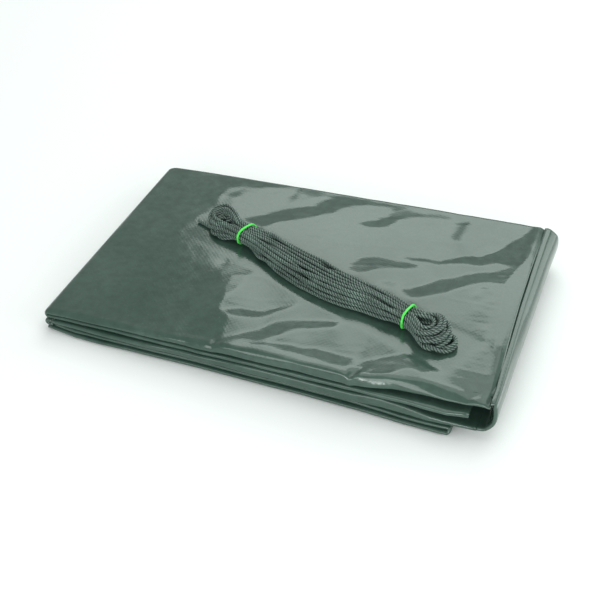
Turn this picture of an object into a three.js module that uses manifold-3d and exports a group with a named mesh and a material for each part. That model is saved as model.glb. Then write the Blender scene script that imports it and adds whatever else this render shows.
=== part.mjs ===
// Flat-folded storage bag in coated woven fabric, with a tied hank of twisted cord on top.
//
// Frame: millimetres, +Z up. Origin at the centre of the underside. +X runs along the folded
// length towards the open fold, +Y across the width.
//
// The bag is one flattened tube, pleated lengthwise and then folded across in a zig-zag:
//   lower leaf  -> tight fold on the right -> second leaf -> tight fold on the left ->
//   third leaf  -> big open fold on the right -> top leaf  -> tight fold on the left ->
//   mouth flap, whose hemmed end stops inside the open fold.
// Each leaf is a solid of its own, so that the folds between them can open.

import * as THREE from 'three';
import { mergeVertices } from 'three/addons/utils/BufferGeometryUtils.js';
import Module from 'manifold-3d';

// ---------------------------------------------------------------- driving dimensions (mm)
const LENGTH = 420;              // folded length, left fold to open fold
const WIDTH = 264;               // folded width
const H_LEFT = 21.2;             // height of the pack over the left edge
const H_RIGHT = 42.8;            // height of the pack over the open fold
const LEAF = 4.0;                // one pleated leaf (six layers of cloth, lightly aired)
const GAP = 0.3;                 // clearance between touching solids
const CORNER_R = 12;             // rounding of the leaves' corners in plan
const X_BEND_L = -205.5;         // where the leaves end and the left folds begin
const X_LOWER_R = 171;           // right end of the two lowest leaves
const X_LOOP = 194.7;            // where the open fold begins
const X_MOUTH = 188;             // hemmed end of the mouth flap
const MOUTH_Z0 = 23.6, MOUTH_Z1 = 29.6;   // mouth flap's end, bottom and top

const HANK_X = 21.4, HANK_Y = -17.2;      // hank centre on the top leaf
const HANK_YAW = -22.7;          // degrees, hank axis in plan
const HANK_H = 17.0;             // hank height
const HANK_END_L = -157, HANK_END_R = 156; // hank ends along its own axis
const BAND_U_L = -104.5, BAND_U_R = 97;   // the two elastic bands along that axis
const BAND_V = 3.0;              // sideways place of the tied necks
const NECK_HALF = 15.0;          // half width of the tied necks
const NECK_Z0 = 3.1, NECK_Z1 = 14.5;      // tied necks, bottom and top above the leaf
const BAND_T = 2.5;              // thickness of the elastic
const BAND_W = 3.0;              // width of the elastic along the hank
const CORD_D = 3.5;              // cord diameter

const slope = Math.atan2(H_RIGHT - H_LEFT, LENGTH);
const topAt = (x) => H_LEFT + (H_RIGHT - H_LEFT) * (x + LENGTH / 2) / LENGTH;

// ---------------------------------------------------------------- solid helpers
const wasm = await Module();
wasm.setup();

function toSolid(geometry) {
  const g = geometry.index ? geometry.toNonIndexed() : geometry.clone();
  g.deleteAttribute('normal');
  g.deleteAttribute('uv');
  const m = mergeVertices(g, 1e-4);
  return new wasm.Manifold(new wasm.Mesh({
    numProp: 3,
    vertProperties: new Float32Array(m.attributes.position.array),
    triVerts: new Uint32Array(m.index.array),
  }));
}

function toGeometry(solid) {
  const m = solid.getMesh();
  const g = new THREE.BufferGeometry();
  const pos = new Float32Array((m.vertProperties.length / m.numProp) * 3);
  for (let i = 0, n = m.vertProperties.length / m.numProp; i < n; i++) {
    for (let k = 0; k < 3; k++) pos[i * 3 + k] = m.vertProperties[i * m.numProp + k];
  }
  g.setAttribute('position', new THREE.BufferAttribute(pos, 3));
  g.setIndex(new THREE.BufferAttribute(new Uint32Array(m.triVerts), 1));
  g.computeVertexNormals();
  return g;
}

// A section drawn in x, z and extruded across the width from y0 to y1.
function acrossWidth(shape, y0, y1, curveSegments = 10) {
  const g = new THREE.ExtrudeGeometry(shape, { depth: y1 - y0, bevelEnabled: false, curveSegments });
  g.rotateX(Math.PI / 2);
  g.translate(0, y1, 0);
  return g;
}

function polygon(points) {
  const s = new THREE.Shape();
  points.forEach(([x, z], i) => (i ? s.lineTo(x, z) : s.moveTo(x, z)));
  s.closePath();
  return s;
}

// The plan outline that rounds every leaf's corners.
function planOutline() {
  const x = LENGTH / 2, y = WIDTH / 2, r = CORNER_R;
  const s = new THREE.Shape();
  s.moveTo(-x + r, -y);
  s.lineTo(x - r, -y);
  s.absarc(x - r, -y + r, r, -Math.PI / 2, 0, false);
  s.lineTo(x, y - r);
  s.absarc(x - r, y - r, r, 0, Math.PI / 2, false);
  s.lineTo(-x + r, y);
  s.absarc(-x + r, y - r, r, Math.PI / 2, Math.PI, false);
  s.lineTo(-x, -y + r);
  s.absarc(-x + r, -y + r, r, Math.PI, Math.PI * 1.5, false);
  return new THREE.ExtrudeGeometry(s, { depth: 120, bevelEnabled: false, curveSegments: 6 });
}
const outline = toSolid(planOutline().translate(0, 0, -20));

function leafSolid(shape, y0, y1, curveSegments) {
  return toGeometry(toSolid(acrossWidth(shape, y0, y1, curveSegments)).intersect(outline));
}

// Half-round bend that joins two tight leaves: centre x, z, radius r, facing left (-1) or right (+1).
function halfRound(cx, cz, r, side) {
  const s = new THREE.Shape();
  const x = cx + side * GAP;
  s.moveTo(x, cz - r);
  if (side > 0) s.absarc(x, cz, r, -Math.PI / 2, Math.PI / 2, false);
  else s.absarc(x, cz, r, -Math.PI / 2, Math.PI / 2, true);
  s.closePath();
  return s;
}

// ---------------------------------------------------------------- materials
const cloth = (hex) => new THREE.MeshStandardMaterial({ color: hex, roughness: 0.42, metalness: 0.0 });
const coated = 0x4f645a, coatedDark = 0x35453d, ropeGreen = 0x3f5748, bandGreen = 0x38d84a;
const rope = new THREE.MeshStandardMaterial({ color: ropeGreen, roughness: 0.75, metalness: 0.0 });
const elastic = new THREE.MeshStandardMaterial({ color: bandGreen, roughness: 0.5, metalness: 0.0 });

const bag = new THREE.Group();
function add(parent, name, geometry, material) {
  const m = new THREE.Mesh(geometry, material.clone());
  m.name = name;
  parent.add(m);
  return m;
}

// ---------------------------------------------------------------- the folded bag
const z1 = 0, z2 = LEAF + GAP, z3 = 2 * (LEAF + GAP), z5 = 3 * (LEAF + GAP), z4 = 4 * (LEAF + GAP);

add(bag, 'lower_leaf', leafSolid(polygon([
  [X_BEND_L, z1], [X_LOWER_R, z1], [X_LOWER_R, z1 + LEAF], [X_BEND_L, z1 + LEAF],
]), -132, 127), cloth(coatedDark));

add(bag, 'lower_right_fold', leafSolid(halfRound(X_LOWER_R, z1 + LEAF + GAP / 2, LEAF + GAP / 2, 1), -132, 127),
  cloth(coated));

add(bag, 'second_leaf', leafSolid(polygon([
  [X_BEND_L, z2], [X_LOWER_R, z2], [X_LOWER_R, z2 + LEAF], [X_BEND_L, z2 + LEAF],
]), -132, 127), cloth(coatedDark));

add(bag, 'left_fold', leafSolid(halfRound(X_BEND_L, z2 + LEAF + GAP / 2, LEAF + GAP / 2, -1), -130, 129),
  cloth(coated));

add(bag, 'third_leaf', leafSolid(polygon([
  [X_BEND_L, z3], [X_LOOP, z3], [X_LOOP, z3 + LEAF], [X_BEND_L, z3 + LEAF],
]), -130, 129), cloth(coatedDark));

// The open fold: an oval band standing on the third leaf's end and carrying the top leaf's end.
{
  const zt = topAt(X_LOOP + GAP), zb = z3;
  const cx = X_LOOP + GAP, cz = (zt + zb) / 2, rz = (zt - zb) / 2, rx = LENGTH / 2 - cx;
  const s = new THREE.Shape();
  s.moveTo(cx, cz - rz);
  s.absellipse(cx, cz, rx, rz, -Math.PI / 2, Math.PI / 2, false, 0);
  s.lineTo(cx, cz + rz - LEAF);
  s.absellipse(cx, cz, rx - LEAF, rz - LEAF, Math.PI / 2, -Math.PI / 2, true, 0);
  s.closePath();
  add(bag, 'right_open_fold', leafSolid(s, -130, 131, 16), cloth(coated));
}

add(bag, 'mouth_flap', leafSolid(polygon([
  [X_BEND_L, z5], [X_MOUTH, MOUTH_Z0], [X_MOUTH, MOUTH_Z1], [X_BEND_L, z5 + LEAF],
]), -128, 124), cloth(coated));

add(bag, 'inner_left_fold', leafSolid(halfRound(X_BEND_L, z4 - GAP / 2 + 0.1, LEAF + GAP / 2, -1), -129, 131),
  cloth(coated));

add(bag, 'top_leaf', leafSolid(polygon([
  [X_BEND_L, topAt(X_BEND_L) - LEAF], [X_LOOP, topAt(X_LOOP) - LEAF], [X_LOOP, topAt(X_LOOP)], [X_BEND_L, topAt(X_BEND_L)],
]), -130, 132), cloth(coated));

// ---------------------------------------------------------------- hank, tail and bands
// The hank lies on the sloping top leaf: local u along the hank, v across, w off the leaf.
const tilt = new THREE.Group();
tilt.position.set(0, 0, topAt(0));
tilt.rotation.y = -slope;
const hank = new THREE.Group();
hank.position.set(HANK_X, HANK_Y, GAP);
hank.rotation.z = THREE.MathUtils.degToRad(HANK_YAW);
tilt.add(hank);
bag.add(tilt);

// Plan outline of the hank: fanned loops at both ends, drawn in at the two bands.
const upper = [[-157, 0], [-154, 9], [-146, 15.5], [-134, 18.5], [-120, 19], [-104.5, 18.3], [-88, 18.6], [-60, 19],
  [-20, 18], [20, 17.6], [60, 18.6], [84, 18.8], [97, 18.4], [112, 19.6], [126, 20], [140, 17], [151, 9.5], [156, 0]];
const lower = [[153, -9], [144, -14.5], [130, -16.5], [112, -14.5], [97, -12.4], [84, -16], [60, -22], [20, -24.4],
  [-20, -24.2], [-60, -20.5], [-88, -15], [-104.5, -12.4], [-118, -15.5], [-134, -17.5], [-147, -13.5], [-154.5, -8]];
const plan = new THREE.Shape();
plan.moveTo(upper[0][0], upper[0][1]);
plan.splineThru(upper.slice(1).map(([x, y]) => new THREE.Vector2(x, y)));
plan.splineThru(lower.map(([x, y]) => new THREE.Vector2(x, y)));
plan.closePath();
const body = toSolid(new THREE.ExtrudeGeometry(plan, {
  depth: HANK_H - 4, bevelEnabled: true, bevelThickness: 2, bevelSize: 2, bevelOffset: -2, bevelSegments: 2, curveSegments: 3,
}).translate(0, 0, 2));

// A rounded rectangle in v, w, extruded along u.
function roundedSection(v0, v1, w0, w1, r) {
  const s = new THREE.Shape();
  s.moveTo(v0 + r, w0);
  s.lineTo(v1 - r, w0);
  s.absarc(v1 - r, w0 + r, r, -Math.PI / 2, 0, false);
  s.lineTo(v1, w1 - r);
  s.absarc(v1 - r, w1 - r, r, 0, Math.PI / 2, false);
  s.lineTo(v0 + r, w1);
  s.absarc(v0 + r, w1 - r, r, Math.PI / 2, Math.PI, false);
  s.lineTo(v0, w0 + r);
  s.absarc(v0 + r, w0 + r, r, Math.PI, Math.PI * 1.5, false);
  return s;
}
function alongHank(shape, u0, u1) {
  const g = new THREE.ExtrudeGeometry(shape, { depth: u1 - u0, bevelEnabled: false, curveSegments: 6 });
  // section x -> v, section y -> w, depth -> u
  g.applyMatrix4(new THREE.Matrix4().set(0, 0, 1, u0, 1, 0, 0, 0, 0, 1, 0, 0, 0, 0, 0, 1));
  return g;
}
const v0 = BAND_V - NECK_HALF, v1 = BAND_V + NECK_HALF;
let hankSolid = body;
for (const u of [BAND_U_L, BAND_U_R]) {
  const half = BAND_W / 2 + GAP;
  const collar = toSolid(alongHank(roundedSection(-60, 60, -20, 40, 4), u - half, u + half));
  const neck = toSolid(alongHank(roundedSection(v0, v1, NECK_Z0, NECK_Z1, 5), u - half - 1, u + half + 1));
  hankSolid = hankSolid.subtract(collar.subtract(neck));
}
add(hank, 'rope_hank', toGeometry(hankSolid), rope);

function bandAt(u) {
  const outer = roundedSection(v0 - GAP - BAND_T, v1 + GAP + BAND_T, NECK_Z0 - GAP - BAND_T, NECK_Z1 + GAP + BAND_T, 7.5);
  outer.holes.push(roundedSection(v0 - GAP, v1 + GAP, NECK_Z0 - GAP, NECK_Z1 + GAP, 5.3));
  return alongHank(outer, u - BAND_W / 2, u + BAND_W / 2);
}
add(hank, 'elastic_band_left', bandAt(BAND_U_L), elastic);
add(hank, 'elastic_band_right', bandAt(BAND_U_R), elastic);

// The cord's free end, lying on the leaf beyond the left loops.
{
  const path = new THREE.CatmullRomCurve3([
    new THREE.Vector3(HANK_END_L - GAP - 0.2, -1.6, 4.6),
    new THREE.Vector3(HANK_END_L - 3.5, -1.9, 3.6),
    new THREE.Vector3(HANK_END_L - 7, -2.4, 2.8),
    new THREE.Vector3(HANK_END_L - 11, -3.2, CORD_D / 2 + 0.5),
  ]);
  const section = new THREE.Shape();
  for (let i = 0; i < 8; i++) {
    const a = (i / 8) * Math.PI * 2, x = Math.cos(a) * CORD_D / 2, y = Math.sin(a) * CORD_D / 2;
    if (i) section.lineTo(x, y); else section.moveTo(x, y);
  }
  section.closePath();
  add(hank, 'rope_tail', new THREE.ExtrudeGeometry(section, { steps: 4, extrudePath: path, bevelEnabled: false }), rope);
}

export default bag;
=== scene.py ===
import math

import bmesh
import bpy
import numpy as np
from mathutils import Matrix, Vector
from mathutils.kdtree import KDTree


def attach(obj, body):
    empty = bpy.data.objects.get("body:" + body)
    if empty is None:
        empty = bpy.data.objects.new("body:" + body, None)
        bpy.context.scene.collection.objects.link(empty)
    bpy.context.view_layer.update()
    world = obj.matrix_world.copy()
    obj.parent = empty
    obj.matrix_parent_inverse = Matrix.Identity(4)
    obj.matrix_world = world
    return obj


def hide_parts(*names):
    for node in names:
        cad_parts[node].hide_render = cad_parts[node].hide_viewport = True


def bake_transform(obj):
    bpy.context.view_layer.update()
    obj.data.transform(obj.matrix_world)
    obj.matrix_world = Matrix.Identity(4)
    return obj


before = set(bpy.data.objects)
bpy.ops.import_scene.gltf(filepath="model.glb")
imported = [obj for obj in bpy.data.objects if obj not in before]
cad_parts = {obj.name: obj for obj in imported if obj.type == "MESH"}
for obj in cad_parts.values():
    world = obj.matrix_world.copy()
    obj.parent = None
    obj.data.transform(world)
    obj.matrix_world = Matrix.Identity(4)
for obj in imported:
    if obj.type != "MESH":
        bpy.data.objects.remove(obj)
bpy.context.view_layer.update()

MM = 0.001
scene = bpy.context.scene

# ---------------------------------------------------------------- driving sizes, the CAD's own (mm)
LENGTH, WIDTH, H_LEFT, H_RIGHT = 420.0, 264.0, 21.2, 42.8
LEAF, GAP = 4.0, 0.3
X_L, X_LOWER_R, X_LOOP, X_MOUTH = -205.5, 171.0, 194.7, 188.0
HANK = (21.4, -17.2, 0.3)
HANK_YAW = math.radians(-22.7)
BAND_U = (-104.5, 97.0)
CORD_D = 3.5
SLOPE = math.atan2(H_RIGHT - H_LEFT, LENGTH)


def top_at(x):
    return H_LEFT + (H_RIGHT - H_LEFT) * (np.asarray(x, float) + LENGTH / 2) / LENGTH


def smooth(a, b, x):
    t = np.clip((np.asarray(x, float) - a) / (b - a), 0, 1)
    return t * t * (3 - 2 * t)


def bump(c, r, x):
    return np.exp(-(((np.asarray(x, float) - c) / r) ** 2))


# ---------------------------------------------------------------- camera
AZ, EL = math.radians(20.72), math.radians(38.37)
TARGET = np.array([-5.25, -9.69, 0.0])
DIST, FOCAL_PX = 1086.75, 1142.7
cam_back = np.array([math.sin(AZ) * math.cos(EL), -math.cos(AZ) * math.cos(EL), math.sin(EL)])
cam_right = np.array([math.cos(AZ), math.sin(AZ), 0.0])
cam_up = np.cross(cam_back, cam_right)
cam_at = TARGET + cam_back * DIST

cam_data = bpy.data.cameras.new("camera")
cam_data.sensor_width = 36.0
cam_data.lens = FOCAL_PX * 36.0 / 600.0
cam_data.clip_start, cam_data.clip_end = 0.05, 30.0
cam = bpy.data.objects.new("camera", cam_data)
cam.matrix_world = Matrix((
    (cam_right[0], cam_up[0], cam_back[0], cam_at[0] * MM),
    (cam_right[1], cam_up[1], cam_back[1], cam_at[1] * MM),
    (cam_right[2], cam_up[2], cam_back[2], cam_at[2] * MM),
    (0, 0, 0, 1)))
scene.collection.objects.link(cam)
scene.camera = cam


# ---------------------------------------------------------------- mesh helpers
def make_mesh(name, co, faces, uv=None, extra=None):
    """A smooth mesh from points in mm, quads (or -1 padded triangles), per-point uv and float attributes."""
    me = bpy.data.meshes.new(name)
    faces = np.asarray(faces, np.int32)
    me.vertices.add(len(co))
    me.vertices.foreach_set("co", (np.asarray(co, float) * MM).astype(np.float32).ravel())
    me.loops.add(faces.size)
    me.loops.foreach_set("vertex_index", faces.ravel())
    me.polygons.add(len(faces))
    n = faces.shape[1]
    me.polygons.foreach_set("loop_start", np.arange(0, faces.size, n, dtype=np.int32))
    me.polygons.foreach_set("loop_total", np.full(len(faces), n, np.int32))
    me.polygons.foreach_set("use_smooth", np.ones(len(faces), bool))
    me.update(calc_edges=True)
    if uv is not None:
        layer = me.uv_layers.new(name="cloth")
        layer.data.foreach_set("uv", np.asarray(uv, np.float32)[faces.ravel()].ravel())
    for key, values in (extra or {}).items():
        a = me.attributes.new(key, "FLOAT", "POINT")
        a.data.foreach_set("value", np.asarray(values, np.float32).ravel())
    me.validate()
    bm = bmesh.new()
    bm.from_mesh(me)
    bmesh.ops.recalc_face_normals(bm, faces=bm.faces)
    bm.to_mesh(me)
    bm.free()
    ob = bpy.data.objects.new(name, me)
    scene.collection.objects.link(ob)
    return ob


def loft_faces(ns, m):
    """Quads of a tube of ns rings of m points, whose ends are closed by quads from side to side."""
    idx = np.arange(ns * m).reshape(ns, m)
    a, b = idx[:-1], idx[1:]
    body = np.stack([a, np.roll(a, -1, 1), np.roll(b, -1, 1), b], -1).reshape(-1, 4)
    k = m // 2
    i = np.arange(k - 1)
    caps = [np.stack([r[i], r[m - 1 - i], r[m - 2 - i], r[i + 1]], -1) for r in (idx[0], idx[-1])]
    return np.concatenate([body] + caps)


def value_noise(x, y, cell, seed):
    """Smooth noise from -1 to 1, the same each run."""
    g = np.random.default_rng(seed).uniform(-1, 1, (97, 97))
    u, v = np.asarray(x, float) / cell + 41.3, np.asarray(y, float) / cell + 37.7
    i, j = np.floor(u).astype(int), np.floor(v).astype(int)
    fu, fv = u - i, v - j
    fu, fv = fu ** 3 * (fu * (fu * 6 - 15) + 10), fv ** 3 * (fv * (fv * 6 - 15) + 10)
    p = lambda a, b: g[a % 97, b % 97]
    return (p(i, j) * (1 - fu) * (1 - fv) + p(i + 1, j) * fu * (1 - fv)
            + p(i, j + 1) * (1 - fu) * fv + p(i + 1, j + 1) * fu * fv)


# ---------------------------------------------------------------- the rope: one cord wound into a hank
ry = np.array([[math.cos(SLOPE), 0, -math.sin(SLOPE)], [0, 1, 0], [math.sin(SLOPE), 0, math.cos(SLOPE)]])
rz = np.array([[math.cos(HANK_YAW), -math.sin(HANK_YAW), 0], [math.sin(HANK_YAW), math.cos(HANK_YAW), 0], [0, 0, 1]])


def hank_to_world(q):
    """From the hank's own axes (u along it, v across, w off the leaf) to the row frame, in mm."""
    return (np.array(HANK) + np.asarray(q, float) @ rz.T) @ ry.T + np.array([0, 0, float(top_at(0))])


hank_dir = ry @ rz @ np.array([1.0, 0, 0])


def spline(points, step):
    """A centripetal Catmull-Rom line through points, resampled about step apart."""
    p = np.asarray(points, float)
    p = np.vstack([2 * p[0] - p[1], p, 2 * p[-1] - p[-2]])
    out = []
    for i in range(1, len(p) - 2):
        p0, p1, p2, p3 = p[i - 1:i + 3]
        t0 = 0.0
        t1 = t0 + max(np.linalg.norm(p1 - p0), 1e-6) ** 0.5
        t2 = t1 + max(np.linalg.norm(p2 - p1), 1e-6) ** 0.5
        t3 = t2 + max(np.linalg.norm(p3 - p2), 1e-6) ** 0.5
        n = max(2, int(np.linalg.norm(p2 - p1) / 1.0))
        t = np.linspace(t1, t2, n, endpoint=False)[:, None]
        a1 = (t1 - t) / (t1 - t0) * p0 + (t - t0) / (t1 - t0) * p1
        a2 = (t2 - t) / (t2 - t1) * p1 + (t - t1) / (t2 - t1) * p2
        a3 = (t3 - t) / (t3 - t2) * p2 + (t - t2) / (t3 - t2) * p3
        b1 = (t2 - t) / (t2 - t0) * a1 + (t - t0) / (t2 - t0) * a2
        b2 = (t3 - t) / (t3 - t1) * a2 + (t - t1) / (t3 - t1) * a3
        out.append((t2 - t) / (t2 - t1) * b1 + (t - t1) / (t2 - t1) * b2)
    line = np.vstack(out + [p[-2][None]])
    return respace(line, step)


def respace(line, step):
    along = np.concatenate([[0], np.cumsum(np.linalg.norm(np.diff(line, axis=0), axis=1))])
    at = np.linspace(0, along[-1], int(round(along[-1] / step)) + 1)
    return np.stack([np.interp(at, along, line[:, k]) for k in range(3)], 1)


def match_places(a, b):
    """Which place of b each place of a goes to, so that the runs travel little."""
    to = np.arange(len(a))
    cost = ((a[:, None] - b[None]) ** 2).sum(-1)
    better = True
    while better:
        better = False
        for i in range(len(a)):
            for j in range(i + 1, len(a)):
                if cost[i, to[j]] + cost[j, to[i]] < cost[i, to[i]] + cost[j, to[j]] - 1e-9:
                    to[i], to[j] = to[j], to[i]
                    better = True
    return to


def hank_path():
    rng = np.random.default_rng(19)
    # places of the 26 runs in a neck: rows of 6, 7, 7 and 6 from the leaf up
    rows = [(2.9, 6), (6.1, 7), (9.3, 7), (12.5, 6)]
    neck = []
    for w, n in rows:
        for i in range(n):
            neck.append((3.0 + (i - (n - 1) / 2) * 3.3, w))
    neck = np.array(neck)
    start = [0, 6, 13, 20]
    # places of the runs in the middle, where the hank is slack: an arch of 13, 5 inside it, 8 on the leaf
    arch = np.array([(16.8 * math.copysign(abs(math.cos(t)) ** 0.65, math.cos(t)), 2.6 + 12.0 * math.sin(t) ** 0.6)
                     for t in np.linspace(0, math.pi, 181)])
    far = np.concatenate([[0], np.cumsum(np.hypot(*np.diff(arch, axis=0).T))])
    dome = [(np.interp(d, far, arch[:, 0]), np.interp(d, far, arch[:, 1])) for d in np.linspace(0, far[-1], 13)]
    dome += [(-9.6, 7.4), (-4.8, 9.2), (0, 10.2), (4.8, 9.2), (9.6, 7.4)]
    dome += [(v, 2.1) for v in np.linspace(-13.6, 13.6, 8)]
    dome = np.array(dome)
    base = match_places((neck - [3.0, 0]) * [1.7, 1.1], dome)

    def shuffled(order, swaps):
        order = order.copy()
        for _ in range(swaps):
            i = rng.integers(26)
            d = ((dome[order] - dome[order[i]]) ** 2).sum(1)
            near = [j for j in np.argsort(d)[1:5]]
            j = near[rng.integers(len(near))]
            order[i], order[j] = order[j], order[i]
        return order

    m1, m0 = shuffled(base, 7), shuffled(base, 9)

    turns = []    # place of the run out to the right, place of the run back, row, nest
    for r in (0, 1, 2, 3):
        n = rows[r][1]
        for k in range(3):
            i, j = start[r] + n - 1 - k, start[r] + k
            turns.append((i, j, r, k))
    turns.insert(6, (start[1] + 3, start[2] + 3, 1, 3))

    right = {3: (119, 1.5, 16.0, 13.4, 6), 2: (124, 0.8, 14.6, 10.4, 8), 1: (130, -0.6, 13.4, 6.8, 6), 0: (138.5, -1.2, 12.2, 3.6, 2)}
    left = {3: (-143.5, 5.2, 12.4, 12.2, 14), 2: (-139.5, 3.2, 12.0, 9.4, 12), 1: (-133, 0.8, 11.6, 6.2, 6), 0: (-124.5, -1.5, 11.4, 3.2, 2)}

    def loop(side, spec, nest, a, b):
        """Points of an end loop from place a to place b at the band; side is 1 to the right, -1 to the left."""
        uc, v0, r, w0, roll = spec
        short = max(9.2 - (r - 3.15 * nest), 0)
        r = max((r - 3.15 * nest) * (1 + rng.normal(0, 0.035)), 9.2)
        uc = uc - side * (0.6 * nest + 0.9 * short) + rng.normal(0, 1.3)
        v0 = v0 + rng.normal(0, 0.8)
        w0 = w0 + rng.normal(0, 0.5) + (0.5 if nest % 2 else -0.3)
        roll = math.radians(roll + rng.normal(0, 6))
        yaw = math.radians(rng.normal(0, 7))
        ub = BAND_U[1] if side > 0 else BAND_U[0]
        s = 1.0 if a[0] >= b[0] else -1.0
        pts = []
        ring = []
        for ang in np.linspace(84, -84, 9):
            t = math.radians(ang)
            du, dv = side * r * math.cos(t), s * r * math.sin(t)
            du, dv = du * math.cos(yaw) - dv * math.sin(yaw), du * math.sin(yaw) + dv * math.cos(yaw)
            ring.append((uc + du, v0 + dv * math.cos(roll), w0 + dv * math.sin(roll) + 0.5 * math.cos(t) * rng.normal(0, 0.8)))
        first, last = ring[0], ring[-1]
        for place, end in ((a, first), (b, last)):
            u1 = ub + side * 4.5
            mid = (u1 + 0.52 * (end[0] - u1), place[0] + 0.6 * (end[1] - place[0]), place[1] + 0.5 * (end[2] - place[1]))
            pts.append(mid)
        return [pts[0]] + ring + [pts[1]]

    def run(k, seed):
        """Points of a run from the left band to the right one."""
        g = np.random.default_rng(seed)
        v, w = neck[k]
        j = g.normal(0, 1, 12)
        d1, d0 = dome[m1[k]], dome[m0[k]]
        out = [(BAND_U[0] - 3.5, v, w), (BAND_U[0], v, w), (BAND_U[0] + 3.5, v, w)]
        for i, (u, f, vc, sc, sh, order) in enumerate((
                (-84, 0.74, 3.6, 0.95, 1.0, m1), (-62, 0.34, 1.2, 1.0, 1.0, m1), (-38, 0.04, -1.0, 1.0, 1.0, m1), (-12, 0.0, -2.0, 1.0, 1.0, None),
                (14, 0.0, -2.6, 1.0, 1.0, m0), (36, 0.06, -1.2, 0.95, 1.0, m0), (56, 0.28, 1.2, 0.88, 1.0, m0), (76, 0.62, 2.2, 0.9, 1.0, m0))):
            place = 0.5 * (d1 + d0) if order is None else dome[order[k]]
            out.append((u, f * v + (1 - f) * (vc + sc * place[0]) + 0.35 * j[i], f * w + (1 - f) * sh * place[1] + 0.2 * j[i + 4]))
        out += [(BAND_U[1] - 3.5, v, w), (BAND_U[1], v, w), (BAND_U[1] + 3.5, v, w)]
        return out

    # the tail: from its free end, under the left loops, to the first run
    pts = [(-166.5, -5.2, 2.0), (-160, -5.0, 1.95), (-151, -5.0, 1.95), (-140, -4.6, 2.0), (-128, -3.2, 2.2), (-116, neck[turns[0][0]][0] - 1.0, 2.6)]
    prev = None
    for i, (out_k, back_k, row, nest) in enumerate(turns):
        if prev is not None:
            pts += loop(-1, left[prev[2]], prev[3], neck[prev[1]], neck[out_k])
        pts += run(out_k, 300 + i)
        pts += loop(1, right[row], nest, neck[out_k], neck[back_k])
        pts += run(back_k, 400 + i)[::-1]
        prev = (out_k, back_k, row, nest)
    end = pts[-1]
    pts += [(end[0] - 8, end[1] * 0.8 + 0.6, end[2] - 0.6), (end[0] - 17, end[1] * 0.6 + 1.2, end[2] - 2.2)]
    line = spline(pts, 2.0)

    # contact: turns push each other apart, settle on the leaf and stay inside the two necks
    rest = line.copy()
    move = np.zeros_like(line)
    n = len(line)
    d_min = CORD_D * 0.96
    for it in range(36):
        p = rest + move
        tree = KDTree(n)
        for i, c in enumerate(p):
            tree.insert(c, i)
        tree.balance()
        push = np.zeros_like(p)
        hits = np.zeros(n)
        for i in range(n):
            for c, j, dist in tree.find_range(p[i], d_min):
                if j <= i + 5:
                    continue
                d = p[i] - p[j]
                dist = max(dist, 1e-3)
                k = 0.5 * (d_min - dist) / dist
                push[i] += d * k
                push[j] -= d * k
                hits[i] += 1
                hits[j] += 1
        push /= np.maximum(hits, 1)[:, None] ** 0.5
        push[:, 0] *= 0.3
        move += push * 0.85
        for _ in range(2):
            move[1:-1] = 0.5 * move[1:-1] + 0.25 * (move[:-2] + move[2:])
        p = rest + move
        p[:, 2] = np.clip(p[:, 2] - 0.02, 1.9, 15.6)
        for ub in BAND_U:
            near = np.exp(-((p[:, 0] - ub) / 9.0) ** 2)
            v, w = p[:, 1] - 3.0, p[:, 2] - 7.7
            over = ((np.abs(v) / 10.4) ** 2.5 + (np.abs(w) / 5.3) ** 2.5) ** (1 / 2.5)
            k = np.where(over > 1, 1 / np.maximum(over, 1e-6), 1.0)
            k = 1 + (k - 1) * near
            p[:, 1] = 3.0 + v * k
            p[:, 2] = 7.7 + w * k
        # bends tighter than the cord takes are evened out, without drawing the loop in
        if it % 3 == 2 or it > 30:
            for _ in range(8):
                l1 = np.linalg.norm(p[2:-2] - p[:-4], axis=1)
                l2 = np.linalg.norm(p[4:] - p[2:-2], axis=1)
                l3 = np.linalg.norm(p[4:] - p[:-4], axis=1)
                ar = np.linalg.norm(np.cross(p[2:-2] - p[:-4], p[4:] - p[2:-2]), axis=1)
                tight = np.zeros(n)
                tight[2:-2] = l1 * l2 * l3 / np.maximum(2 * ar, 1e-6) < 7.6
                if not tight.any():
                    break
                k = np.clip(np.convolve(tight, [0.3, 0.6, 0.9, 1, 1, 1, 0.9, 0.6, 0.3], "same"), 0, 1)[1:-1, None]
                for f in (0.5, -0.49):
                    q = p.copy()
                    q[1:-1] += f * k * (0.5 * (p[:-2] + p[2:]) - p[1:-1])
                    p = q
        move = p - rest
    p = rest + move
    p[1:-1] = 0.5 * p[1:-1] + 0.25 * (p[:-2] + p[2:])
    p[:, 2] = np.maximum(p[:, 2], 1.85)
    return p


hank_line = hank_path()


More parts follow.
